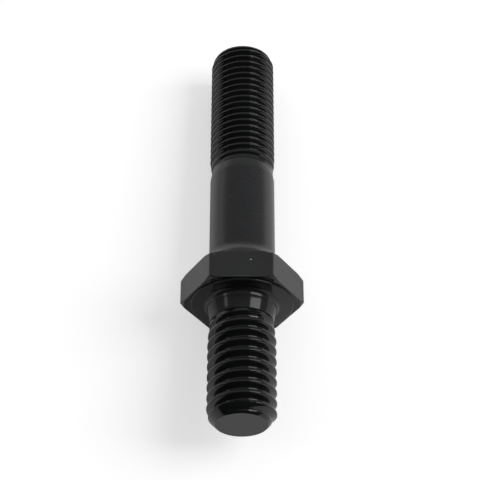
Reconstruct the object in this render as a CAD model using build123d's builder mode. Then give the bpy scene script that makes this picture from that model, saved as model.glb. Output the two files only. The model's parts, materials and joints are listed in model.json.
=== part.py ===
"""Rocker arm stud: coarse thread, collar, hexagon, ground shank and fine thread, in one piece.

Millimetres, +Z up, with the origin on the stud's axis in the plane of its seat. The stud is
turned up along +Z first, fine end at the top, and then laid as it comes to rest: on the edge of
one flat and on the tip of the fine end, with the coarse end raised.
"""
import os
from math import atan2, cos, radians, sin, sqrt, tan

from build123d import *

INCH = 25.4

# ---- driving dimensions: threads ----------------------------------------------------------
thread_size = 7 / 16 * INCH  # nominal diameter of both threads
crest_shortfall = 0.1625  # rolled crests end this much under the nominal diameter
flank_angle = 60.0  # included angle between two flanks

coarse_pitch = INCH / 14
coarse_length = 21.0  # seat to the end face of the coarse thread
coarse_chamfer_depth = 1.375  # from the crests to the end face, across the axis
coarse_chamfer_angle = 44.0  # from the axis
coarse_crest_runout = 3.5  # length over which the crests fade into the collar
coarse_root_runout = 1.2  # length over which the groove fades too
coarse_start_angle = 290.0  # turns the coarse thread about the axis

fine_pitch = INCH / 20
fine_height = 50.1  # seat to the tip of the fine thread
fine_chamfer_depth = 0.475
fine_chamfer_angle = 22.0  # from the axis
fine_runout = 2.4  # length over which the crests fade into the blank

# ---- driving dimensions: shank, shoulder and collar ---------------------------------------
shank_diameter = 10.8
shank_end_height = 24.2  # seat to the end of the ground shank
shank_taper_length = 1.5
shoulder_diameter = 11.8  # round shoulder above the hexagon
shoulder_height = 7.6  # seat to the rim of the shoulder
blend_radius = 3.0  # hollow left by the grinding wheel between shank and shoulder
collar_length = 3.05  # collar between the seat and the coarse thread
collar_diameter = 10.94  # where it leaves its corner with the seat
collar_taper_angle = 10.5  # from the axis, narrowing towards the thread
collar_corner_height = 0.95  # sloping corner between the collar and the seat
collar_corner_width = 0.65

# ---- driving dimensions: hexagon ----------------------------------------------------------
across_flats = 17.3  # 11/16 in hexagon, headed a little under size
hexagon_top = 5.1  # seat to the top of the hexagon
hexagon_corner_radius = 0.4
seat_margin = 0.7  # how much the seat is smaller than the width across the flats
seat_step = 0.3  # how far the round seat stands proud of the hexagon
seat_edge_chamfer = 0.15
corner_chamfer_angle = 30.0  # from the end faces of the hexagon
top_chamfer_margin = 1.1  # how much its circle is larger than the width across the flats
bottom_chamfer_margin = 1.5

# ---- derived sizes ------------------------------------------------------------------------
crest_radius = (thread_size - crest_shortfall) / 2
coarse_face_radius = crest_radius - coarse_chamfer_depth
fine_face_radius = crest_radius - fine_chamfer_depth
shank_radius = shank_diameter / 2
shoulder_radius = shoulder_diameter / 2
collar_radius = collar_diameter / 2
collar_cone_length = collar_length - collar_corner_height
collar_end_radius = collar_radius - collar_cone_length * tan(radians(collar_taper_angle))
fine_start = shank_end_height + shank_taper_length
fine_chamfer_length = fine_chamfer_depth / tan(radians(fine_chamfer_angle))
blend_height = sqrt(blend_radius**2 - (blend_radius - shoulder_radius + shank_radius) ** 2)
hexagon_reach = across_flats / sqrt(3)  # axis to a sharp corner of the hexagon
chamfer_slope = tan(radians(corner_chamfer_angle))
top_chamfer_radius = (across_flats + top_chamfer_margin) / 2
bottom_chamfer_radius = (across_flats + bottom_chamfer_margin) / 2
top_chamfer_height = (hexagon_reach - top_chamfer_radius) * chamfer_slope
bottom_chamfer_height = (hexagon_reach - bottom_chamfer_radius) * chamfer_slope
seat_radius = (across_flats - seat_margin) / 2


def blank_radius(pitch):
    """Radius of the blank before rolling, where ridge and groove are equally wide."""
    return (thread_size - 3 * sqrt(3) / 8 * pitch) / 2


def root_radius(pitch):
    """Radius of the core at the bottom of the groove."""
    return (thread_size - 17 * sqrt(3) / 24 * pitch) / 2


# ---- the coarse thread, cut full depth, from the collar at Z = 0 to its chamfered face ------
coarse_root = root_radius(coarse_pitch)
coarse_blank = blank_radius(coarse_pitch)
thread_length = coarse_length - collar_length
ridge_foot = 0.98 * coarse_root  # the ridge's foot is sunk into the core
ridge_width = coarse_pitch / 2 + 2 * (coarse_blank - ridge_foot) * tan(radians(flank_angle / 2))
stock = 1.1 * crest_radius  # larger than the crests, so that only the ends are turned
crest_rise = (crest_radius - collar_end_radius) / coarse_crest_runout
crest_fade = (stock - collar_end_radius) / crest_rise
root_fade = coarse_root_runout * (coarse_blank - ridge_foot) / (coarse_blank - coarse_root)
coarse_chamfer_length = (stock - coarse_face_radius) / tan(radians(coarse_chamfer_angle))

with BuildPart() as coarse_end:
    # core and right-hand ridge, both longer than the finished end
    with BuildSketch(Plane.XY.offset(-2 * coarse_pitch)):
        Circle(coarse_root)
    extrude(amount=thread_length + 4 * coarse_pitch)
    with BuildLine():
        helix = Helix(
            coarse_pitch,
            thread_length + 2 * coarse_pitch,
            ridge_foot,
            center=(0, 0, -coarse_pitch),
        )
    forward = helix % 0
    across = Vector(1, 0, 0).cross(forward)
    with BuildSketch(Plane(origin=helix @ 0, x_dir=across, z_dir=forward)):
        Trapezoid(
            ridge_width,
            crest_radius - ridge_foot,
            90 - flank_angle / 2,
            align=(Align.CENTER, Align.MIN),
        )
    sweep(path=helix, is_frenet=True)

    # turned to length: the crests rise from the collar, and the face has a chamfer
    with BuildSketch(Plane.XZ):
        with BuildLine():
            Polyline(
                (0, 0),
                (collar_end_radius, 0),
                (stock, crest_fade),
                (stock, thread_length - coarse_chamfer_length),
                (coarse_face_radius, thread_length),
                (0, thread_length),
                close=True,
            )
        make_face()
    revolve(axis=Axis.Z, mode=Mode.INTERSECT)

    # the groove rises to the blank next to the collar
    Cone(
        coarse_blank,
        ridge_foot,
        root_fade,
        align=(Align.CENTER, Align.CENTER, Align.MIN),
    )

coarse_plane = Plane(
    origin=(0, 0, -collar_length),
    x_dir=Vector(1, 0, 0).rotate(Axis.Z, coarse_start_angle),
    z_dir=(0, 0, -1),
)

# ---- the stud, turned up along +Z ---------------------------------------------------------
with BuildPart() as upright:
    # hexagon with its corners chamfered to a circle at both ends
    with BuildSketch(Plane.XY.offset(seat_step)):
        hexagon = RegularPolygon(across_flats / 2, 6, major_radius=False)
        fillet(hexagon.vertices(), hexagon_corner_radius)
    extrude(amount=hexagon_top - seat_step)
    with BuildSketch(Plane.XZ):
        with BuildLine():
            Polyline(
                (0, seat_step),
                (bottom_chamfer_radius, seat_step),
                (hexagon_reach, seat_step + bottom_chamfer_height),
                (hexagon_reach, hexagon_top - top_chamfer_height),
                (top_chamfer_radius, hexagon_top),
                (0, hexagon_top),
                close=True,
            )
        make_face()
    revolve(axis=Axis.Z, mode=Mode.INTERSECT)

    # round seat under the hexagon
    with BuildSketch(Plane.XY):
        Circle(seat_radius)
    extrude(amount=seat_step)
    chamfer(upright.edges().group_by(Axis.Z)[0], seat_edge_chamfer)

    # collar, shoulder, ground shank, and the fine end at the size of its crests
    with BuildSketch(Plane.XZ):
        with BuildLine():
            Polyline(
                (0, -collar_length),
                (collar_end_radius, -collar_length),
                (collar_radius, -collar_corner_height),
                (collar_radius + collar_corner_width, 0),
                (shoulder_radius, seat_step),
                (shoulder_radius, shoulder_height),
            )
            RadiusArc(
                (shoulder_radius, shoulder_height),
                (shank_radius, shoulder_height + blend_height),
                blend_radius,
            )
            Polyline(
                (shank_radius, shoulder_height + blend_height),
                (shank_radius, shank_end_height),
                (blank_radius(fine_pitch), fine_start),
                (crest_radius, fine_start + fine_runout),
                (crest_radius, fine_height - fine_chamfer_length),
                (fine_face_radius, fine_height),
                (0, fine_height),
                (0, -collar_length),
            )
        make_face()
    revolve(axis=Axis.Z)

    # the coarse thread joins the collar's end
    with Locations(coarse_plane.location):
        add(coarse_end.part)

# ---- the stud at rest ---------------------------------------------------------------------
# a straight edge laid under it would touch the upper edge of a flat and the last full crest
rest_span = fine_height - fine_chamfer_length - hexagon_top
rest_tilt = atan2(across_flats / 2 - crest_radius, rest_span)
rest_plane = Plane(origin=(0, 0, 0), x_dir=(1, 0, 0), z_dir=(0, cos(rest_tilt), -sin(rest_tilt)))

with BuildPart() as rocker_stud:
    with Locations(rest_plane.location):
        add(upright.part)

rocker_stud.part.label = "rocker_stud"
os.makedirs("parts", exist_ok=True)
export_step(rocker_stud.part, "parts/rocker_stud.step")
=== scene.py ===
"""Studio scene of a double ended stud with a hexagonal shoulder.

The stud is one piece. It is built upright in its own frame, where +Z runs along the axis to the
fine end, -Y is the flat that faces up, and the origin is in the plane of the seat. It is then laid
on the axis that the frame gives. Lengths are in millimetres until a mesh is finished.
"""
import json
import logging
from dataclasses import dataclass, field
from enum import Enum
from math import acos, atan2, ceil, cos, degrees, pi, radians, sin, sqrt, tan
from typing import ClassVar

import bmesh
import bpy
from mathutils import Matrix, Vector


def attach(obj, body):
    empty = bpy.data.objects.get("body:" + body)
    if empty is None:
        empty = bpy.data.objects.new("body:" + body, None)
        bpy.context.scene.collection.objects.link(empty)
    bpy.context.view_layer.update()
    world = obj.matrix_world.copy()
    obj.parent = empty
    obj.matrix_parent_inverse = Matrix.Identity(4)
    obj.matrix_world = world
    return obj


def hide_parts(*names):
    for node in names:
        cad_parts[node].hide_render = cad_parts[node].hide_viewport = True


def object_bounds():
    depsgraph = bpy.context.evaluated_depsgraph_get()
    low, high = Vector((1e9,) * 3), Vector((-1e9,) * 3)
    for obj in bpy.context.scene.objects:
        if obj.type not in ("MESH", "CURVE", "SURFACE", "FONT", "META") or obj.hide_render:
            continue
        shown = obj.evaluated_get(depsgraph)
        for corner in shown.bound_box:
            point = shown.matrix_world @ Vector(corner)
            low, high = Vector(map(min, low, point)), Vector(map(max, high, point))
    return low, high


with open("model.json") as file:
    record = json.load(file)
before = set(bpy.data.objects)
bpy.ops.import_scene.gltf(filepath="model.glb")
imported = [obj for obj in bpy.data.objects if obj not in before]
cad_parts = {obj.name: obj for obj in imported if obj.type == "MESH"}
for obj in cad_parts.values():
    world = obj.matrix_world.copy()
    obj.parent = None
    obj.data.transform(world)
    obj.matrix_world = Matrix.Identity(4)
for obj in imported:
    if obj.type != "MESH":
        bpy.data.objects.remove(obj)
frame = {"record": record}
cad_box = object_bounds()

MM = 0.001  # metres
INCH = 25.4  # millimetres
NOISE_BAND = {1: 0.3, 2: 0.7}  # a noise texture seldom leaves this band
log = logging.getLogger("stud")

Ring = list[bmesh.types.BMVert]
Section = list[tuple[float, float]]  # pairs of radius and height


# ---- small tools --------------------------------------------------------------------------
def linear(colour: str) -> tuple[float, float, float, float]:
    """Turn an sRGB hex colour into linear values.

    Args:
        colour: Six hex digits after a hash.

    Returns:
        Linear red, green and blue, and an alpha of one.
    """
    levels = [int(colour[i : i + 2], 16) / 255 for i in (1, 3, 5)]
    return (*(v / 12.92 if v <= 0.04045 else ((v + 0.055) / 1.055) ** 2.4 for v in levels), 1.0)


def add(
    tree: bpy.types.NodeTree, kind: str, links: dict | None = None, **settings: object
) -> bpy.types.Node:
    """Add a node to a tree.

    Args:
        tree: The tree that gets the node.
        kind: The node's type.
        links: For each input, by name or number, a socket to link or a value to set.
        settings: Values of the node's own properties.

    Returns:
        The new node.
    """
    node = tree.nodes.new(kind)
    for name, value in settings.items():
        setattr(node, name, value)
    for key, value in (links or {}).items():
        if isinstance(value, bpy.types.NodeSocket):
            tree.links.new(value, node.inputs[key])
        else:
            node.inputs[key].default_value = value
    return node


def smooth_min(a: float, b: float, reach: float) -> float:
    """Give the smaller of two numbers, lowered a little where they are nearly equal.

    Args:
        a: One number.
        b: The other number.
        reach: The difference from which the smaller number is given as it is.

    Returns:
        The smaller number, rounded off.
    """
    share = max(reach - abs(a - b), 0) / reach
    return min(a, b) - share**3 * reach / 6


# ---- the frame ----------------------------------------------------------------------------
@dataclass(frozen=True)
class StudFrame:
    """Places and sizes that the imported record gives, in millimetres."""

    mounts: dict

    def radius(self, name: str) -> float:
        """Radius of a round mount."""
        return self.mounts[name]["dims"]["r_mm"]

    def height(self, name: str) -> float:
        """Distance from the seat to the middle of a mount, positive towards the fine end."""
        return Vector(self.mounts[name]["pos_m"]).dot(self.axis) / MM

    def ends(self, name: str) -> tuple[float, float]:
        """Heights of the two ends of a round mount, nearest the seat first."""
        middle, half = self.height(name), self.mounts[name]["dims"]["length_mm"] / 2
        return tuple(sorted((middle - half, middle + half), key=abs))

    @property
    def axis(self) -> Vector:
        """Unit vector along the stud's axis, towards the fine end."""
        return Vector(self.mounts["shank"]["axis"]).normalized()

    @property
    def placing(self) -> Matrix:
        """Turn from the upright stud to the stud at rest."""
        side = Vector((1, 0, 0))
        return Matrix((side, self.axis.cross(side), self.axis)).transposed().to_4x4()


# ---- finishes -----------------------------------------------------------------------------
class Surface(Enum):
    """The stud's finishes, in the order of its material slots."""

    ROLLED = 0
    TURNED = 1
    GROUND = 2
    FORGED = 3
    FACED = 4


@dataclass(frozen=True)
class WearAndHighlight:
    """A small spot in the colour of bare steel: some are knocks that took the oxide off, some are
    painted highlights on edges and crests.
    """

    place: tuple[float, float, float]  # on the upright stud, in millimetres
    reach: tuple[float, float, float]  # half its size along each axis
    bare: float  # share of the steel colour in its middle: bare steel at a knock, a painted highlight on edges and crests


@dataclass(frozen=True)
class BlackOxide:
    """Black oxide steel, sealed with oil, over a surface that was rolled, turned or ground.

    The oxide is a thin dark skin, so it shades like a dark dielectric and not like bare steel.
    """

    name: str
    colour: str
    roughness: float
    grain_mm: float  # size of the oxide's grain
    grain_depth_mm: float
    mark_mm: float = 0.0  # spacing of the tool marks round the axis
    mark_depth_mm: float = 0.0
    ior: float = 1.45
    # spots in the steel colour: knocks in the oxide, and painted highlights on edges and crests
    wear_and_highlights: tuple[WearAndHighlight, ...] = ()
    steel: str = "#b9bbbd"
    patches_per_mm: float = 0.35  # the oil dries in soft patches about 3 mm across
    patch_tone: float = 0.15  # how much lighter and darker they are
    grain_gloss: float = 0.1  # how much rougher and smoother the grain is

    def material(self, axes: StudFrame) -> bpy.types.Material:
        """Build the material.

        Args:
            axes: The stud's frame, for patterns that run round its axis.

        Returns:
            The new material.
        """
        material = bpy.data.materials.new(self.name)
        material.use_nodes = True
        tree = material.node_tree
        tree.nodes.clear()
        place = add(tree, "ShaderNodeTexCoord")
        upright = axes.placing.to_3x3().inverted().to_euler()
        own = add(
            tree,
            "ShaderNodeMapping",
            {"Vector": place.outputs["Object"], "Rotation": upright, "Scale": (1 / MM,) * 3},
        ).outputs[0]
        grain = add(
            tree, "ShaderNodeTexNoise", {"Vector": own, "Scale": 1 / self.grain_mm, "Detail": 3.0}
        ).outputs["Fac"]
        patches = add(
            tree,
            "ShaderNodeTexNoise",
            {"Vector": own, "Scale": self.patches_per_mm, "Detail": 2.0},
        ).outputs["Fac"]
        tone = add(
            tree,
            "ShaderNodeMapRange",
            {"Value": patches, **NOISE_BAND, 3: 1 - self.patch_tone, 4: 1 + self.patch_tone},
        )
        tint = add(
            tree,
            "ShaderNodeVectorMath",
            {0: linear(self.colour)[:3], "Scale": tone.outputs[0]},
            operation="SCALE",
        )
        gloss = add(
            tree,
            "ShaderNodeMapRange",
            {
                "Value": grain,
                **NOISE_BAND,
                3: self.roughness * (1 - self.grain_gloss),
                4: self.roughness * (1 + self.grain_gloss),
            },
        )
        bump = add(
            tree, "ShaderNodeBump", {"Distance": self.grain_depth_mm * MM, "Height": grain}
        )
        if self.mark_mm:
            along = add(tree, "ShaderNodeSeparateXYZ", {0: own}).outputs["Z"]
            marks = add(
                tree,
                "ShaderNodeTexNoise",
                {"W": along, "Scale": 1 / self.mark_mm, "Detail": 1.0},
                noise_dimensions="1D",
            )
            bump = add(
                tree,
                "ShaderNodeBump",
                {
                    "Distance": self.mark_depth_mm * MM,
                    "Height": marks.outputs["Fac"],
                    "Normal": bump.outputs[0],
                },
            )
        colour = tint.outputs[0]
        # paint each spot in the steel colour: bare steel at knocks, painted highlights on edges and
        # crests
        for spot in self.wear_and_highlights:
            near = add(
                tree,
                "ShaderNodeMapping",
                {"Vector": own, "Location": spot.place, "Scale": spot.reach},
                vector_type="TEXTURE",
            )
            far = add(
                tree, "ShaderNodeVectorMath", {0: near.outputs[0]}, operation="LENGTH"
            ).outputs["Value"]
            # full over the middle of the spot and fading to its rim
            share = add(
                tree, "ShaderNodeMapRange", {"Value": far, 1: 1.0, 2: 0.3, 3: 0.0, 4: spot.bare}
            )
            colour = add(
                tree,
                "ShaderNodeMix",
                {0: share.outputs[0], 6: colour, 7: linear(self.steel)},
                data_type="RGBA",
            ).outputs[2]
        shader = add(
            tree,
            "ShaderNodeBsdfPrincipled",
            {
                "Base Color": colour,
                "Roughness": gloss.outputs[0],
                "Metallic": 0.0,
                "IOR": self.ior,
                "Normal": bump.outputs[0],
            },
        )
        add(tree, "ShaderNodeOutputMaterial", {"Surface": shader.outputs[0]})
        return material


FORGED_WEAR_AND_HIGHLIGHTS = (
    # a nick in the middle of the upper flat, and a painted highlight on its lower right corner
    WearAndHighlight((1.5, -8.65, 3.45), (0.2, 0.3, 0.12), 1.0),
    WearAndHighlight((4.72, -8.65, 0.36), (0.2, 0.3, 0.16), 1.0),
    # painted highlights along that flat's right, upper left and lower edges
    WearAndHighlight((4.93, -8.55, 1.5), (0.05, 0.2, 1.2), 0.12),
    WearAndHighlight((-4.3, -8.6, 4.45), (0.35, 0.2, 0.06), 0.3),
    WearAndHighlight((0.5, -8.6, 0.42), (4.5, 0.3, 0.09), 0.07),
)
ROLLED_WEAR_AND_HIGHLIGHTS = (
    # spots on the crests near the fine tip, where the right lamp's highlight falls: partly knocks,
    # partly painted highlight
    WearAndHighlight((1.7, -5.2, 47.5), (0.16, 0.4, 0.45), 0.16),
    WearAndHighlight((1.95, -5.1, 47.1), (0.3, 0.4, 0.08), 0.2),
    # spots on two fine crests, where the left lamp's highlight falls: partly rubs, partly painted
    # highlight
    WearAndHighlight((-2.6, -4.82, 38.7), (0.5, 0.4, 0.12), 0.14),
    WearAndHighlight((-2.4, -4.92, 37.4), (0.5, 0.4, 0.12), 0.12),
    # spots on the edge of the coarse end's face, under both lamps' highlights: partly rubs, partly
    # painted highlight
    WearAndHighlight((-1.9, -4.5, -20.6), (0.5, 0.5, 0.12), 0.08),
    WearAndHighlight((1.6, -4.5, -20.55), (0.55, 0.5, 0.1), 0.12),
)

# the oxide's grain is a few microns and the tool marks are a few hundredths of a millimetre, both
# too fine to show, so the grain is drawn at 0.12 to 0.2 mm and the marks at 0.2 to 0.3 mm
FINISHES = {
    # rolled between dies: burnished, so the oxide over it is almost a black mirror
    Surface.ROLLED: BlackOxide(
        "black_oxide_rolled", "#171818", 0.09, 0.15, 0.0006, ior=1.44, wear_and_highlights=ROLLED_WEAR_AND_HIGHLIGHTS
    ),
    # turned in a lathe: smooth, with faint rings round the axis
    Surface.TURNED: BlackOxide(
        "black_oxide_turned", "#1b1c1c", 0.12, 0.15, 0.0004, 0.2, 0.0004, ior=1.34
    ),
    # ground between centres: satin, with very fine rings
    Surface.GROUND: BlackOxide("black_oxide_ground", "#1d1e20", 0.27, 0.12, 0.0015, 0.3, 0.0008),
    # forged and tumbled: satin, without direction, with its edges knocked in the tumbler
    Surface.FORGED: BlackOxide(
        "black_oxide_forged", "#191a1c", 0.36, 0.2, 0.006, ior=1.52, wear_and_highlights=FORGED_WEAR_AND_HIGHLIGHTS
    ),
    # faced off square: satin, a little duller than the ground shank
    Surface.FACED: BlackOxide("black_oxide_faced", "#141517", 0.33, 0.15, 0.002, ior=1.38),
}


# ---- rolled threads -----------------------------------------------------------------------
def blank_radius(nominal: float, pitch: float) -> float:
    """Give the radius of the blank for a thread of a nominal diameter and a pitch."""
    return (nominal - 3 * sqrt(3) / 8 * pitch) / 2


@dataclass(frozen=True)
class RolledThread:
    """One right-hand threaded end, rolled on a blank and chamfered, along +Z from its blank."""

    # how far rows of faces are drawn towards the crest and root, and towards their four corners
    ROWS_OPENED: ClassVar[float] = -0.44
    ROWS_CORNERED: ClassVar[float] = 0.65
    SEAM: ClassVar[float] = 1e-4  # points closer than this along a seam become one

    name: str
    pitch: float
    nominal: float  # nominal diameter
    crest_radius: float
    length: float
    face_radius: float
    chamfer_angle: float  # degrees from the axis
    start_angle: float  # degrees round the axis where a crest meets the blank's end
    start_radius: float  # where the crests begin to rise
    crest_runout: float  # length over which the crests rise
    root_runout: float  # length over which the groove deepens
    columns: int
    rows: int  # rows of faces in one pitch
    crest_rounding: float = 0.2
    root_rounding: float = 0.25
    edge_rounding: float = 0.08
    chamfer_ease: float = 0.93  # below 1, the chamfer is rounder towards the face

    @property
    def blank_radius(self) -> float:
        """Radius where ridge and groove are equally wide."""
        return blank_radius(self.nominal, self.pitch)

    @property
    def root_radius(self) -> float:
        """Radius at the bottom of the groove."""
        return (self.nominal - 17 * sqrt(3) / 24 * self.pitch) / 2

    def inputs(self) -> dict[str, float | int]:
        """Give the tree's inputs.

        Returns:
            The value of each input, by its name.
        """
        return {
            "Turns": float(ceil(self.length / self.pitch) + 4),
            "Columns": self.columns,
            "Rows": self.rows,
            "Pitch": self.pitch,
            "Length": self.length,
            "Phase": self.start_angle / 360,
            "Blank radius": self.blank_radius,
            "Crest radius": self.crest_radius,
            "Root radius": self.root_radius,
            "Face radius": self.face_radius,
            "Chamfer depth": self.crest_radius - self.face_radius,
            "Chamfer length": (self.crest_radius - self.face_radius)
            / tan(radians(self.chamfer_angle)),
            "Chamfer ease": self.chamfer_ease,
            "Start radius": self.start_radius,
            "Crest run-out": self.crest_runout,
            "Root run-out": self.root_runout,
            "Crest rounding": self.crest_rounding,
            "Root rounding": self.root_rounding,
            "Edge rounding": self.edge_rounding,
        }

    # each row is a name, an operation and its operands: an input, an earlier name or a number;
    # x counts turns, and y runs from one crest to the next
    FORMULA: ClassVar[tuple] = (
        ("turn", "MULTIPLY_ADD", "Turns", 0.5, "x"),
        ("share", "ADD", "y", 0.5),
        # rows of faces stand closer where the flanks meet the crest and the root
        ("twice", "MULTIPLY", "share", 4 * pi),
        ("twice sine", "SINE", "twice"),
        ("drawn", "MULTIPLY_ADD", "twice sine", ROWS_OPENED / (4 * pi), "share"),
        ("fourfold", "MULTIPLY", "share", 8 * pi),
        ("fourfold sine", "SINE", "fourfold"),
        ("row", "MULTIPLY_ADD", "fourfold sine", ROWS_CORNERED / (8 * pi), "drawn"),
        ("from start", "SUBTRACT", "turn", "Phase"),
        ("ridge", "SUBTRACT", "from start", 2.0),
        ("free", "ADD", "ridge", "row"),
        ("free height", "MULTIPLY", "free", "Pitch"),
        ("above start", "MAXIMUM", "free height", 0.0),
        ("height", "MINIMUM", "above start", "Length"),
        ("pitches", "DIVIDE", "height", "Pitch"),
        ("off ridge", "SUBTRACT", "pitches", "ridge"),
        ("across", "WRAP", "off ridge", 0.5, -0.5),
        ("side", "ABSOLUTE", "across"),
        ("inside", "SUBTRACT", 0.25, "side"),
        ("rise", "MULTIPLY", "inside", "Pitch"),
        ("flank", "MULTIPLY_ADD", "rise", sqrt(3), "Blank radius"),
        ("crest run", "DIVIDE", "height", "Crest run-out"),
        ("risen", "MINIMUM", "crest run", 1.0),
        ("crest gain", "SUBTRACT", "Crest radius", "Start radius"),
        ("turned", "MULTIPLY_ADD", "risen", "crest gain", "Start radius"),
        ("shoulder", "MULTIPLY_ADD", "height", 2.0, "Blank radius"),
        ("crest", "MINIMUM", "turned", "shoulder"),
        ("root run", "DIVIDE", "height", "Root run-out"),
        ("sunk", "MINIMUM", "root run", 1.0),
        ("root loss", "SUBTRACT", "Root radius", "Blank radius"),
        ("root", "MULTIPLY_ADD", "sunk", "root loss", "Blank radius"),
        ("crest blend", "MULTIPLY", "risen", "Crest rounding"),
        ("root blend", "MULTIPLY", "sunk", "Root rounding"),
        ("ridged", "SMOOTH_MIN", "flank", "crest", "crest blend"),
        ("threaded", "SMOOTH_MAX", "ridged", "root", "root blend"),
        ("to face", "SUBTRACT", "Length", "height"),
        ("chamfered", "DIVIDE", "to face", "Chamfer length"),
        ("eased", "POWER", "chamfered", "Chamfer ease"),
        ("cone", "MULTIPLY_ADD", "eased", "Chamfer depth", "Face radius"),
        ("radius", "SMOOTH_MIN", "threaded", "cone", "Edge rounding"),
        ("angle", "MULTIPLY", "turn", 2 * pi),
        ("cosine", "COSINE", "angle"),
        ("sine", "SINE", "angle"),
        ("out x", "MULTIPLY", "radius", "cosine"),
        ("out y", "MULTIPLY", "radius", "sine"),
    )

    def tree(self, material: bpy.types.Material) -> bpy.types.NodeTree:
        """Build the tree that winds a grid round the axis and gives it the thread's section.

        Args:
            material: The material that the tree sets.

        Returns:
            The new geometry node tree.
        """
        tree = bpy.data.node_groups.new("rolled_thread", "GeometryNodeTree")
        for name, value in self.inputs().items():
            kind = "NodeSocketInt" if isinstance(value, int) else "NodeSocketFloat"
            tree.interface.new_socket(name, in_out="INPUT", socket_type=kind)
        tree.interface.new_socket("Geometry", in_out="OUTPUT", socket_type="NodeSocketGeometry")
        given = add(tree, "NodeGroupInput").outputs
        around = add(
            tree,
            "ShaderNodeMath",
            {0: given["Turns"], 1: given["Columns"], 2: 1.0},
            operation="MULTIPLY_ADD",
        )
        along = add(tree, "ShaderNodeMath", {0: given["Rows"], 1: 1.0}, operation="ADD")
        grid = add(
            tree,
            "GeometryNodeMeshGrid",
            {
                "Size X": given["Turns"],
                "Size Y": 1.0,
                "Vertices X": around.outputs[0],
                "Vertices Y": along.outputs[0],
            },
        )
        point = add(tree, "GeometryNodeInputPosition")
        parts = add(tree, "ShaderNodeSeparateXYZ", {0: point.outputs[0]})
        values = {name: given[name] for name in self.inputs()}
        values.update(x=parts.outputs["X"], y=parts.outputs["Y"])
        for name, operation, *operands in self.FORMULA:
            links = {i: values.get(o, o) for i, o in enumerate(operands)}
            node = add(tree, "ShaderNodeMath", links, operation=operation, label=name)
            values[name] = node.outputs[0]
        place = add(
            tree,
            "ShaderNodeCombineXYZ",
            {0: values["out x"], 1: values["out y"], 2: values["height"]},
        )
        wound = add(
            tree,
            "GeometryNodeSetPosition",
            {"Geometry": grid.outputs["Mesh"], "Position": place.outputs[0]},
        )
        closed = add(
            tree,
            "GeometryNodeMergeByDistance",
            {"Geometry": wound.outputs[0], "Distance": self.SEAM},
        )
        real = add(tree, "GeometryNodeRealizeInstances", {"Geometry": closed.outputs[0]})
        dressed = add(
            tree, "GeometryNodeSetMaterial", {"Geometry": real.outputs[0], "Material": material}
        )
        add(tree, "NodeGroupOutput", {"Geometry": dressed.outputs[0]})
        return tree

    def mesh(self, material: bpy.types.Material) -> bpy.types.Mesh:
        """Give the thread as a plain open mesh, in millimetres.

        Args:
            material: The finish of the thread.

        Returns:
            The evaluated mesh.
        """
        holder = bpy.data.objects.new(self.name, bpy.data.meshes.new(self.name))
        bpy.context.scene.collection.objects.link(holder)
        tree = self.tree(material)
        modifier = holder.modifiers.new("rolled_thread", "NODES")
        modifier.node_group = tree
        values = self.inputs()
        for item in tree.interface.items_tree:
            if item.in_out == "INPUT":
                modifier[item.identifier] = values[item.name]
        graph = bpy.context.evaluated_depsgraph_get()
        mesh = bpy.data.meshes.new_from_object(holder.evaluated_get(graph), depsgraph=graph)
        bpy.data.objects.remove(holder)
        bpy.data.node_groups.remove(tree)
        return mesh


# ---- turned and forged forms --------------------------------------------------------------
@dataclass
class Skin:
    """A mesh of rings round the axis, joined edge to edge."""

    mesh: bmesh.types.BMesh = field(default_factory=bmesh.new)

    def ring(self, angles: list[float], radii: list[float], height: float) -> Ring:
        """Add a ring of points at one height, from their angles and radii."""
        return [
            self.mesh.verts.new((r * cos(a), r * sin(a), height)) for a, r in zip(angles, radii)
        ]

    def lathe(self, angles: list[float], section: Section) -> list[Ring]:
        """Add a round ring for each radius and height of a section."""
        return [self.ring(angles, [radius] * len(angles), height) for radius, height in section]

    def join(self, rings: list[Ring], surface: Surface) -> None:
        """Join rings of equally many points, each to the next.

        Args:
            rings: The rings, in order.
            surface: The finish of the new faces.
        """
        for low, high in zip(rings, rings[1:]):
            for i in range(len(low)):
                corners = (low[i - 1], low[i], high[i], high[i - 1])
                self.mesh.faces.new(corners).material_index = surface.value

    def web(self, outer: Ring, inner: Ring, surface: Surface) -> None:
        """Join two flat rings, where the outer one has points of its own between the inner one's.

        Args:
            outer: The ring with more points.
            inner: The ring with fewer points, each in line with one of the outer ring's.
            surface: The finish of the new faces.
        """
        spokes = {self.turn(v): v for v in inner}
        count = len(outer)
        starts = [i for i in range(count) if self.turn(outer[i]) in spokes]
        for first, last in zip(starts, starts[1:] + [starts[0] + count]):
            edge = [outer[i % count] for i in range(first, last + 1)]
            ends = [spokes[self.turn(edge[-1])], spokes[self.turn(edge[0])]]
            self.mesh.faces.new(edge + ends).material_index = surface.value

    @staticmethod
    def turn(point: bmesh.types.BMVert) -> float:
        """Give a point's place round the axis, from 0 to 1."""
        return round((atan2(point.co.y, point.co.x) % (2 * pi)) / (2 * pi), 6) % 1.0

    def take(self, mesh: bpy.types.Mesh, place: Matrix, surface: Surface) -> None:
        """Add a finished mesh and remove it from the scene's data.

        Args:
            mesh: The mesh, in millimetres.
            place: Where it goes on the upright stud.
            surface: The finish of its faces.
        """
        mesh.transform(place)
        before = len(self.mesh.faces)
        self.mesh.from_mesh(mesh)
        self.mesh.faces.ensure_lookup_table()
        for i in range(before, len(self.mesh.faces)):
            self.mesh.faces[i].material_index = surface.value
        bpy.data.meshes.remove(mesh)


def arc(
    centre: tuple[float, float], radius: float, start: float, stop: float, steps: int
) -> Section:
    """Give points of an arc in the plane of radius and height.

    Args:
        centre: Radius and height of the arc's centre.
        radius: The arc's own radius.
        start: Angle of the first point, in degrees from the outward direction.
        stop: Angle of the last point.
        steps: Number of straight steps.

    Returns:
        The points, from start to stop.
    """
    angles = [radians(start + (stop - start) * i / steps) for i in range(steps + 1)]
    return [(centre[0] + radius * cos(a), centre[1] + radius * sin(a)) for a in angles]


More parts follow.
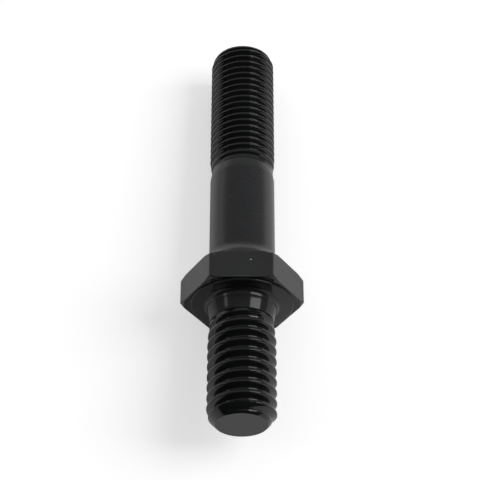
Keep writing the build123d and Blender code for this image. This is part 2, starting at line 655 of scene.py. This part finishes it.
@dataclass(frozen=True)
class Hexagon:
    """The hexagon with rounded corners, chamfered at both ends, and the round seat under it."""

    across_flats: float = 17.3
    top: float = 5.1
    step: float = 0.3
    corner_radius: float = 0.3
    chamfer_angle: float = 30.0
    top_chamfer_radius: float = 9.2
    bottom_chamfer_radius: float = 9.4
    seat_radius: float = 8.3
    seat_edge: float = 0.2
    edge: float = 0.1  # rounding of the hexagon's edges
    ring_gap: float = 0.05  # between rings of points over the chamfers
    edge_gap: float = 0.17  # from an end to the first of those rings
    bottom_rings: int = 6
    top_rings: int = 14

    def angles(self, columns: int) -> list[float]:
        """Give the angles of the points round the hexagon, close together at its corners.

        Args:
            columns: Number of points evenly round the axis, before those at the corners.

        Returns:
            The angles in radians, in order.
        """
        even = {round(360 * i / columns, 4) for i in range(columns)}
        near = {
            round((corner + side * step) % 360, 4)
            for corner in range(0, 360, 60)
            for side in (-1, 1)
            for step in (0.25, 0.5, 0.75, 1.0)
        }
        return [radians(a) for a in sorted(even | near)]

    def outline(self, angle: float) -> float:
        """Give the radius of the hexagon's outline.

        Args:
            angle: Angle round the axis, from a corner.

        Returns:
            The radius, on a flat or on a rounded corner.
        """
        flat = self.across_flats / 2
        off_corner = (angle + pi / 6) % (pi / 3) - pi / 6
        centre = (flat - self.corner_radius) / cos(pi / 6)
        reach = centre * sin(abs(off_corner))
        if reach <= self.corner_radius * sin(pi / 6):
            return centre * cos(off_corner) + sqrt(self.corner_radius**2 - reach**2)
        return flat / cos(pi / 6 - abs(off_corner))

    def radius(self, angle: float, height: float) -> float:
        """Give the radius of the chamfered hexagon.

        Args:
            angle: Angle round the axis, from a corner.
            height: Height above the seat.

        Returns:
            The radius, with the chamfers cut and the edges rounded.
        """
        slope = 1 / tan(radians(self.chamfer_angle))
        top = self.top_chamfer_radius + (self.top - height) * slope
        bottom = self.bottom_chamfer_radius + (height - self.step) * slope
        size = smooth_min(smooth_min(self.outline(angle), top, self.edge), bottom, self.edge)
        for end in (self.top, self.step):
            depth = max(self.edge - abs(end - height), 0)
            size -= self.edge - sqrt(self.edge**2 - depth**2)
        return size

    def heights(self) -> list[float]:
        """Give the heights of the rings of points.

        Returns:
            The heights in order, close together at the rounded edges and over the chamfers.
        """
        turn = [self.edge * (1 - cos(radians(a))) for a in (0, 25, 50, 70, 90)]
        low = [self.step + h for h in turn]
        low += [self.step + self.edge_gap + self.ring_gap * i for i in range(self.bottom_rings)]
        high = [self.top - h for h in turn]
        high += [self.top - self.edge_gap - self.ring_gap * i for i in range(self.top_rings)]
        middle = [self.step + (self.top - self.step) * share for share in (0.2, 0.4, 0.6)]
        return sorted(low + middle + high)


@dataclass(frozen=True)
class Turning:
    """The collar, the shoulder, the shank and its two ends, as sections turned round the axis.

    Each rounding is an arc, and the straight lengths between arcs need only their ends.
    """

    collar_radius: float
    collar_start: float
    collar_end: float
    coarse_blank: float
    shank_radius: float
    shank_start: float
    shank_end: float
    fine_start: float
    fine_blank: float
    collar_taper: float = 10.5  # degrees from the axis
    collar_edge: float = 0.05  # rounding of its narrow end
    collar_hollow: float = 0.88  # hollow between the collar and the seat
    foot_step: float = 0.05  # small step where the hollow begins, and its two slopes
    foot_slope: tuple[float, float] = (0.01, 0.06)
    foot_angle: float = 165.0
    thread_gap: float = 0.05  # from the collar's end to the thread's first turn
    shoulder_radius: float = 5.9
    shoulder_height: float = 7.6
    shoulder_hollow: float = 0.6
    flare: float = 0.19  # how much wider the shoulder is below its rim
    flare_depth: float = 0.9  # how far below
    flare_foot: float = 0.25  # how much wider it is at the hexagon
    rim_edge: float = 0.12  # rounding of the rim
    rim_depth: float = 0.17
    rim_angles: tuple[float, float] = (12, 48)
    blend_radius: float = 3.0  # hollow left by the grinding wheel
    blend_gap: float = 4.0  # degrees of it that the rim's rounding takes
    shank_margin: float = 4.0  # length near each end that gets a ring of its own
    shank_edge: tuple[float, float] = (0.02, 0.3)  # the shank's fall before its taper

    @property
    def collar_end_radius(self) -> float:
        """Radius of the collar's narrow end."""
        length = self.collar_start - self.collar_end
        return self.collar_radius - length * tan(radians(self.collar_taper))

    def lower(self) -> Section:
        """Give the section from the coarse thread's blank to the seat.

        Returns:
            The points in order, towards the fine end.
        """
        end, edge, hollow = self.collar_end_radius, self.collar_edge, self.collar_hollow
        foot, (drop, slope) = self.collar_radius + self.foot_step, self.foot_slope
        points = [(self.coarse_blank, self.collar_end - self.thread_gap)]
        points += arc((end - edge, self.collar_end + edge), edge, -80, 0, 4)
        points += [(self.collar_radius - drop, -hollow - slope), (foot, -hollow)]
        points += arc((foot + hollow, -hollow), hollow, self.foot_angle, 90, 8)
        return points

    def upper(self, top: float) -> Section:
        """Give the section from the top of the hexagon to the fine thread's blank.

        Args:
            top: Height of the hexagon's top.

        Returns:
            The points in order, towards the fine end.
        """
        shoulder, rim, hollow = self.shoulder_radius, self.shoulder_height, self.shoulder_hollow
        shank, (fall, run) = self.shank_radius, self.shank_edge
        wheel = (shank + self.blend_radius, self.shank_start)
        reach = degrees(acos((wheel[0] - shoulder) / self.blend_radius))
        points = arc((shoulder + self.flare_foot + hollow, top + hollow), hollow, 270, 180, 8)
        points += [(shoulder + self.flare, rim - self.flare_depth)]
        rim_centre = (shoulder - self.rim_edge, rim - self.rim_depth)
        points += arc(rim_centre, self.rim_edge, *self.rim_angles, 4)
        points += arc(wheel, self.blend_radius, 180 + reach - self.blend_gap, 180, 10)
        points += [(shank, self.shank_start + self.shank_margin)]
        points += [(shank, self.shank_end - self.shank_margin)]
        points += [(shank, self.shank_end - run), (shank - fall, self.shank_end)]
        points += [(self.fine_blank, self.fine_start)]
        return points


# ---- the stud -----------------------------------------------------------------------------
@dataclass
class Stud:
    """The whole stud, as one closed mesh that stands for its CAD node."""

    axes: StudFrame
    columns: int = 120  # points round the axis
    nominal: float = 7 / 16 * INCH
    coarse_pitch: float = INCH / 14
    coarse_face_radius: float = 4.1
    coarse_chamfer_angle: float = 44.0
    coarse_start_angle: float = -335.0
    coarse_crest_runout: float = 3.5
    coarse_root_runout: float = 1.2
    fine_pitch: float = INCH / 20
    fine_face_radius: float = 5.0
    fine_chamfer_angle: float = 22.0
    fine_start_angle: float = 216.0
    fine_runout: float = 2.4
    taper: float = 1.5  # length between the shank and the fine thread
    merge: float = 2e-4  # points closer than this become one
    crease_angle: float = 38.0  # edges this sharp or sharper stay sharp
    hexagon: Hexagon = Hexagon()

    def coarse(self, start: float, start_radius: float) -> RolledThread:
        """Size the coarse thread.

        Args:
            start: Height where the thread begins.
            start_radius: Radius of the collar next to it.

        Returns:
            The coarse thread.
        """
        return RolledThread(
            "coarse_thread",
            pitch=self.coarse_pitch,
            nominal=self.nominal,
            crest_radius=self.axes.radius("coarse_thread"),
            length=start - self.axes.ends("coarse_thread")[1],
            face_radius=self.coarse_face_radius,
            chamfer_angle=self.coarse_chamfer_angle,
            start_angle=self.coarse_start_angle,
            start_radius=start_radius,
            crest_runout=self.coarse_crest_runout,
            root_runout=self.coarse_root_runout,
            columns=self.columns,
            rows=24,
        )

    def fine(self) -> RolledThread:
        """Size the fine thread.

        Returns:
            The fine thread. Its mount ends where the chamfer at the tip begins.
        """
        low, high = self.axes.ends("fine_thread")
        crest = self.axes.radius("fine_thread")
        tip = high + (crest - self.fine_face_radius) / tan(radians(self.fine_chamfer_angle))
        return RolledThread(
            "fine_thread",
            pitch=self.fine_pitch,
            nominal=self.nominal,
            crest_radius=crest,
            length=tip - (low - self.fine_runout),
            face_radius=self.fine_face_radius,
            chamfer_angle=self.fine_chamfer_angle,
            start_angle=self.fine_start_angle,
            start_radius=blank_radius(self.nominal, self.fine_pitch),
            crest_runout=self.fine_runout,
            root_runout=self.fine_runout,
            columns=self.columns,
            rows=20,
            crest_rounding=0.17,
            root_rounding=0.18,
        )

    def turning(self) -> Turning:
        """Size the turned lengths between the threads.

        Returns:
            Their sections, with the frame's radii and heights.
        """
        shank = self.axes.ends("shank")
        collar = self.axes.ends("collar")
        return Turning(
            collar_radius=self.axes.radius("collar"),
            collar_start=collar[0],
            collar_end=collar[1],
            coarse_blank=blank_radius(self.nominal, self.coarse_pitch),
            shank_radius=self.axes.radius("shank"),
            shank_start=shank[0],
            shank_end=shank[1],
            fine_start=shank[1] + self.taper,
            fine_blank=blank_radius(self.nominal, self.fine_pitch),
        )

    def skin(self, finishes: list[bpy.types.Material]) -> Skin:
        """Build the surface of the upright stud, in millimetres, open only at its two faces.

        Args:
            finishes: The stud's materials, in the order of Surface.

        Returns:
            The surface, with a finish for each face.
        """
        skin, hexagon, turning = Skin(), self.hexagon, self.turning()
        round_angles = [2 * pi * i / self.columns for i in range(self.columns)]
        hex_angles = hexagon.angles(self.columns)

        collar = skin.lathe(round_angles, turning.lower())
        skin.join(collar, Surface.TURNED)
        rim, edge = hexagon.seat_radius, hexagon.seat_edge
        section = arc((rim - edge, edge), edge, -90, 0, 4) + [(rim, hexagon.step)]
        seat = skin.lathe(round_angles, section)
        skin.join([collar[-1], *seat], Surface.TURNED)
        sides = [
            skin.ring(hex_angles, [hexagon.radius(a, z) for a in hex_angles], z)
            for z in hexagon.heights()
        ]
        skin.web(sides[0], seat[-1], Surface.TURNED)
        skin.join(sides, Surface.FORGED)
        shank = skin.lathe(round_angles, turning.upper(hexagon.top))
        skin.web(sides[-1], shank[0], Surface.FORGED)
        skin.join(shank, Surface.GROUND)

        coarse_start = turning.collar_end - turning.thread_gap
        coarse, fine = self.coarse(coarse_start, turning.collar_end_radius), self.fine()
        down = Matrix.Translation((0, 0, coarse_start)) @ Matrix.Rotation(pi, 4, "X")
        up = Matrix.Translation((0, 0, turning.fine_start))
        for thread, place in ((coarse, down), (fine, up)):
            skin.take(thread.mesh(finishes[Surface.ROLLED.value]), place, Surface.ROLLED)
            log.info("%s: %.1f mm long", thread.name, thread.length)
        return skin

    def build(self) -> bpy.types.Object:
        """Build the stud, lay it at rest and hand it to the frame.

        Returns:
            The finished object.
        """
        finishes = [FINISHES[surface].material(self.axes) for surface in Surface]
        shape = self.skin(finishes).mesh
        bmesh.ops.remove_doubles(shape, verts=shape.verts[:], dist=self.merge)
        open_edges = [e for e in shape.edges if e.is_boundary]
        made = bmesh.ops.holes_fill(shape, edges=open_edges, sides=0)
        for face in made["faces"]:
            face.material_index = Surface.FACED.value
        bmesh.ops.recalc_face_normals(shape, faces=shape.faces[:])
        crease = radians(self.crease_angle)
        for edge in shape.edges:
            finishes_met = {face.material_index for face in edge.link_faces}
            edge.smooth = len(finishes_met) == 1 and edge.calc_face_angle(0) < crease
        log.info("open edges left: %d", sum(e.is_boundary for e in shape.edges))
        shape.transform(self.axes.placing @ Matrix.Scale(MM, 4))
        mesh = bpy.data.meshes.new("stud")
        shape.to_mesh(mesh)
        shape.free()
        for finish in finishes:
            mesh.materials.append(finish)
        mesh.polygons.foreach_set("use_smooth", [True] * len(mesh.polygons))
        stud = bpy.data.objects.new("stud", mesh)
        bpy.context.scene.collection.objects.link(stud)
        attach(stud, "root")
        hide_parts("rocker_stud")
        log.info("stud: %d faces", len(mesh.polygons))
        return stud


# ---- studio -------------------------------------------------------------------------------
@dataclass(frozen=True)
class Softbox:
    """A rectangular lamp, placed by its direction from the stud."""

    name: str
    direction: tuple[float, float, float]
    distance_mm: float
    width_mm: float
    height_mm: float
    radiance: float  # a white wall in full light is 1
    colour: str = "#ffffff"


@dataclass(frozen=True)
class Ramp:
    """A smooth change of the dome's light, along one coordinate of the direction."""

    near: float  # where it begins
    far: float  # where it ends
    low: float  # level before it
    high: float  # level past it


@dataclass(frozen=True)
class Studio:
    """Floor, lamps, world and camera."""

    axes: StudFrame
    aim_height: float = 12.655  # point of the axis that the camera looks at, from the seat
    aim_side: float = 0.36  # how far the axis lies from the middle of the view
    distance: float = 243.54
    tilt: float = 32.87  # degrees from square on to the axis, towards the coarse end
    roll: float = 0.2195
    turn: float = -0.92  # degrees that the stud is turned about its axis
    view_angle: float = 18.477
    clip_m: tuple[float, float] = (0.01, 20.0)
    paper: str = "#f4f4f4"
    floor_reach_m: float = 3.0
    camera_lift: float = 0.49  # white that the camera sees on top of the lit floor
    mirrored_gain: float = 0.5  # how much whiter than lit the floor is in reflections
    softboxes: tuple[Softbox, ...] = (
        Softbox("softbox_right", (0.715, 0.04, 0.70), 400, 210, 250, 4.5),
        Softbox("softbox_left", (-0.79, -0.05, 0.61), 400, 170, 75, 1.7),
    )
    ceiling: Ramp = Ramp(-0.7, 0.0, 0.02, 0.4)  # dark on the camera's side
    sides: Ramp = Ramp(0.05, 0.27, 0.55, 0.0)  # a bright band near the horizon
    sides_lean: float = 0.15  # the band stands higher on the left
    behind: Ramp = Ramp(0.1, 0.6, 0.0, 1.0)  # share of the band, all of it behind the stud
    back: Ramp = Ramp(0.7, 0.95, 0.0, 0.27)  # a soft glow straight behind

    def camera(self) -> None:
        """Create the camera, which looks down on the stud from its coarse end."""
        down_axis = -self.axes.axis
        side = Vector((1, 0, 0))
        up = down_axis.cross(side)
        turn, tilt, roll = radians(self.turn), radians(self.tilt), radians(self.roll)
        facing = cos(turn) * up - sin(turn) * side
        across = sin(turn) * up + cos(turn) * side
        along = cos(tilt) * down_axis - sin(tilt) * facing
        forward = -sin(tilt) * down_axis - cos(tilt) * facing
        right = cos(roll) * across - sin(roll) * along
        down = sin(roll) * across + cos(roll) * along
        data = bpy.data.cameras.new("camera")
        data.angle = radians(self.view_angle)
        data.clip_start, data.clip_end = self.clip_m
        camera = bpy.data.objects.new("camera", data)
        bpy.context.scene.collection.objects.link(camera)
        place = self.axes.axis * self.aim_height - self.aim_side * right - self.distance * forward
        turned = Matrix((right, -down, -forward)).transposed().to_4x4()
        camera.matrix_world = Matrix.Translation(place * MM) @ turned
        bpy.context.scene.camera = camera

    def floor(self, height: float) -> None:
        """Lay a white paper floor under the stud.

        The camera sees it a little whiter than it is lit, and reflections see it as white as
        paper in full light. Both keep its shadow, and neither adds light to the stud.

        Args:
            height: Height of the floor, in metres.
        """
        material = bpy.data.materials.new("floor_paper")
        material.use_nodes = True
        tree = material.node_tree
        tree.nodes.clear()
        path = add(tree, "ShaderNodeLightPath").outputs
        mirrored = add(
            tree,
            "ShaderNodeMath",
            {0: path["Is Glossy Ray"], 1: path["Is Transmission Ray"]},
            operation="MAXIMUM",
        )
        gain = add(
            tree,
            "ShaderNodeMath",
            {0: mirrored.outputs[0], 1: self.mirrored_gain, 2: 1.0},
            operation="MULTIPLY_ADD",
        )
        white = add(
            tree,
            "ShaderNodeVectorMath",
            {0: linear(self.paper)[:3], "Scale": gain.outputs[0]},
            operation="SCALE",
        )
        paper = add(tree, "ShaderNodeBsdfDiffuse", {"Color": white.outputs[0]})
        lift = add(
            tree,
            "ShaderNodeMath",
            {0: path["Is Camera Ray"], 1: self.camera_lift},
            operation="MULTIPLY",
        )
        glow = add(tree, "ShaderNodeEmission", {"Color": (1, 1, 1, 1), "Strength": lift.outputs[0]})
        both = add(tree, "ShaderNodeAddShader", {0: paper.outputs[0], 1: glow.outputs[0]})
        add(tree, "ShaderNodeOutputMaterial", {"Surface": both.outputs[0]})
        mesh = bpy.data.meshes.new("floor")
        reach = self.floor_reach_m
        corners = [(x * reach, y * reach, height) for x, y in ((-1, -1), (1, -1), (1, 1), (-1, 1))]
        mesh.from_pydata(corners, [], [(0, 1, 2, 3)])
        mesh.materials.append(material)
        floor = bpy.data.objects.new("floor", mesh)
        bpy.context.scene.collection.objects.link(floor)

    def lamps(self) -> None:
        """Hang the softboxes."""
        for box in self.softboxes:
            data = bpy.data.lights.new(box.name, "AREA")
            data.shape = "RECTANGLE"
            data.size, data.size_y = box.width_mm * MM, box.height_mm * MM
            data.energy = box.radiance * pi * data.size * data.size_y
            data.color = linear(box.colour)[:3]
            lamp = bpy.data.objects.new(box.name, data)
            bpy.context.scene.collection.objects.link(lamp)
            direction = Vector(box.direction).normalized()
            lamp.location = direction * box.distance_mm * MM
            lamp.rotation_mode = "QUATERNION"
            lamp.rotation_quaternion = direction.to_track_quat("Z", "Y")
            log.info("lamp %s", box.name)

    def world(self) -> None:
        """Light the stud from a dome, bright at the sides, dim overhead and dark in front."""
        world = bpy.data.worlds.new("dome")
        bpy.context.scene.world = world
        world.use_nodes = True
        tree = world.node_tree
        tree.nodes.clear()
        direction = add(tree, "ShaderNodeTexCoord")
        parts = add(tree, "ShaderNodeSeparateXYZ", {0: direction.outputs["Generated"]}).outputs
        leaning = add(
            tree,
            "ShaderNodeMath",
            {0: parts["X"], 1: self.sides_lean, 2: parts["Z"]},
            operation="MULTIPLY_ADD",
        )
        levels = []
        for place, ramp in (
            (parts["Y"], self.ceiling),
            (leaning.outputs[0], self.sides),
            (parts["Y"], self.behind),
            (parts["Y"], self.back),
        ):
            ends = {"Value": place, 1: ramp.near, 2: ramp.far, 3: ramp.low, 4: ramp.high}
            node = add(tree, "ShaderNodeMapRange", ends, interpolation_type="SMOOTHSTEP")
            levels.append(node.outputs[0])
        ceiling, sides, behind, back = levels
        walls = add(
            tree, "ShaderNodeMath", {0: sides, 1: behind, 2: back}, operation="MULTIPLY_ADD"
        )
        level = add(tree, "ShaderNodeMath", {0: walls.outputs[0], 1: ceiling}, operation="ADD")
        glow = add(
            tree, "ShaderNodeBackground", {"Color": (1, 1, 1, 1), "Strength": level.outputs[0]}
        )
        add(tree, "ShaderNodeOutputWorld", {"Surface": glow.outputs[0]})

    def build(self, floor_height: float) -> None:
        """Make the whole studio.

        Args:
            floor_height: Height of the floor, in metres.
        """
        self.camera()
        self.floor(floor_height)
        self.lamps()
        self.world()
        bpy.context.scene.view_settings.view_transform = "Standard"


def main() -> None:
    """Build the stud and its studio."""
    logging.basicConfig(level=logging.INFO, format="%(name)s: %(message)s")
    axes = StudFrame({mount["name"]: mount for mount in frame["record"]["mounts"]})
    Stud(axes).build()
    Studio(axes).build(cad_box[0].z)


if __name__ == "__main__":
    main()
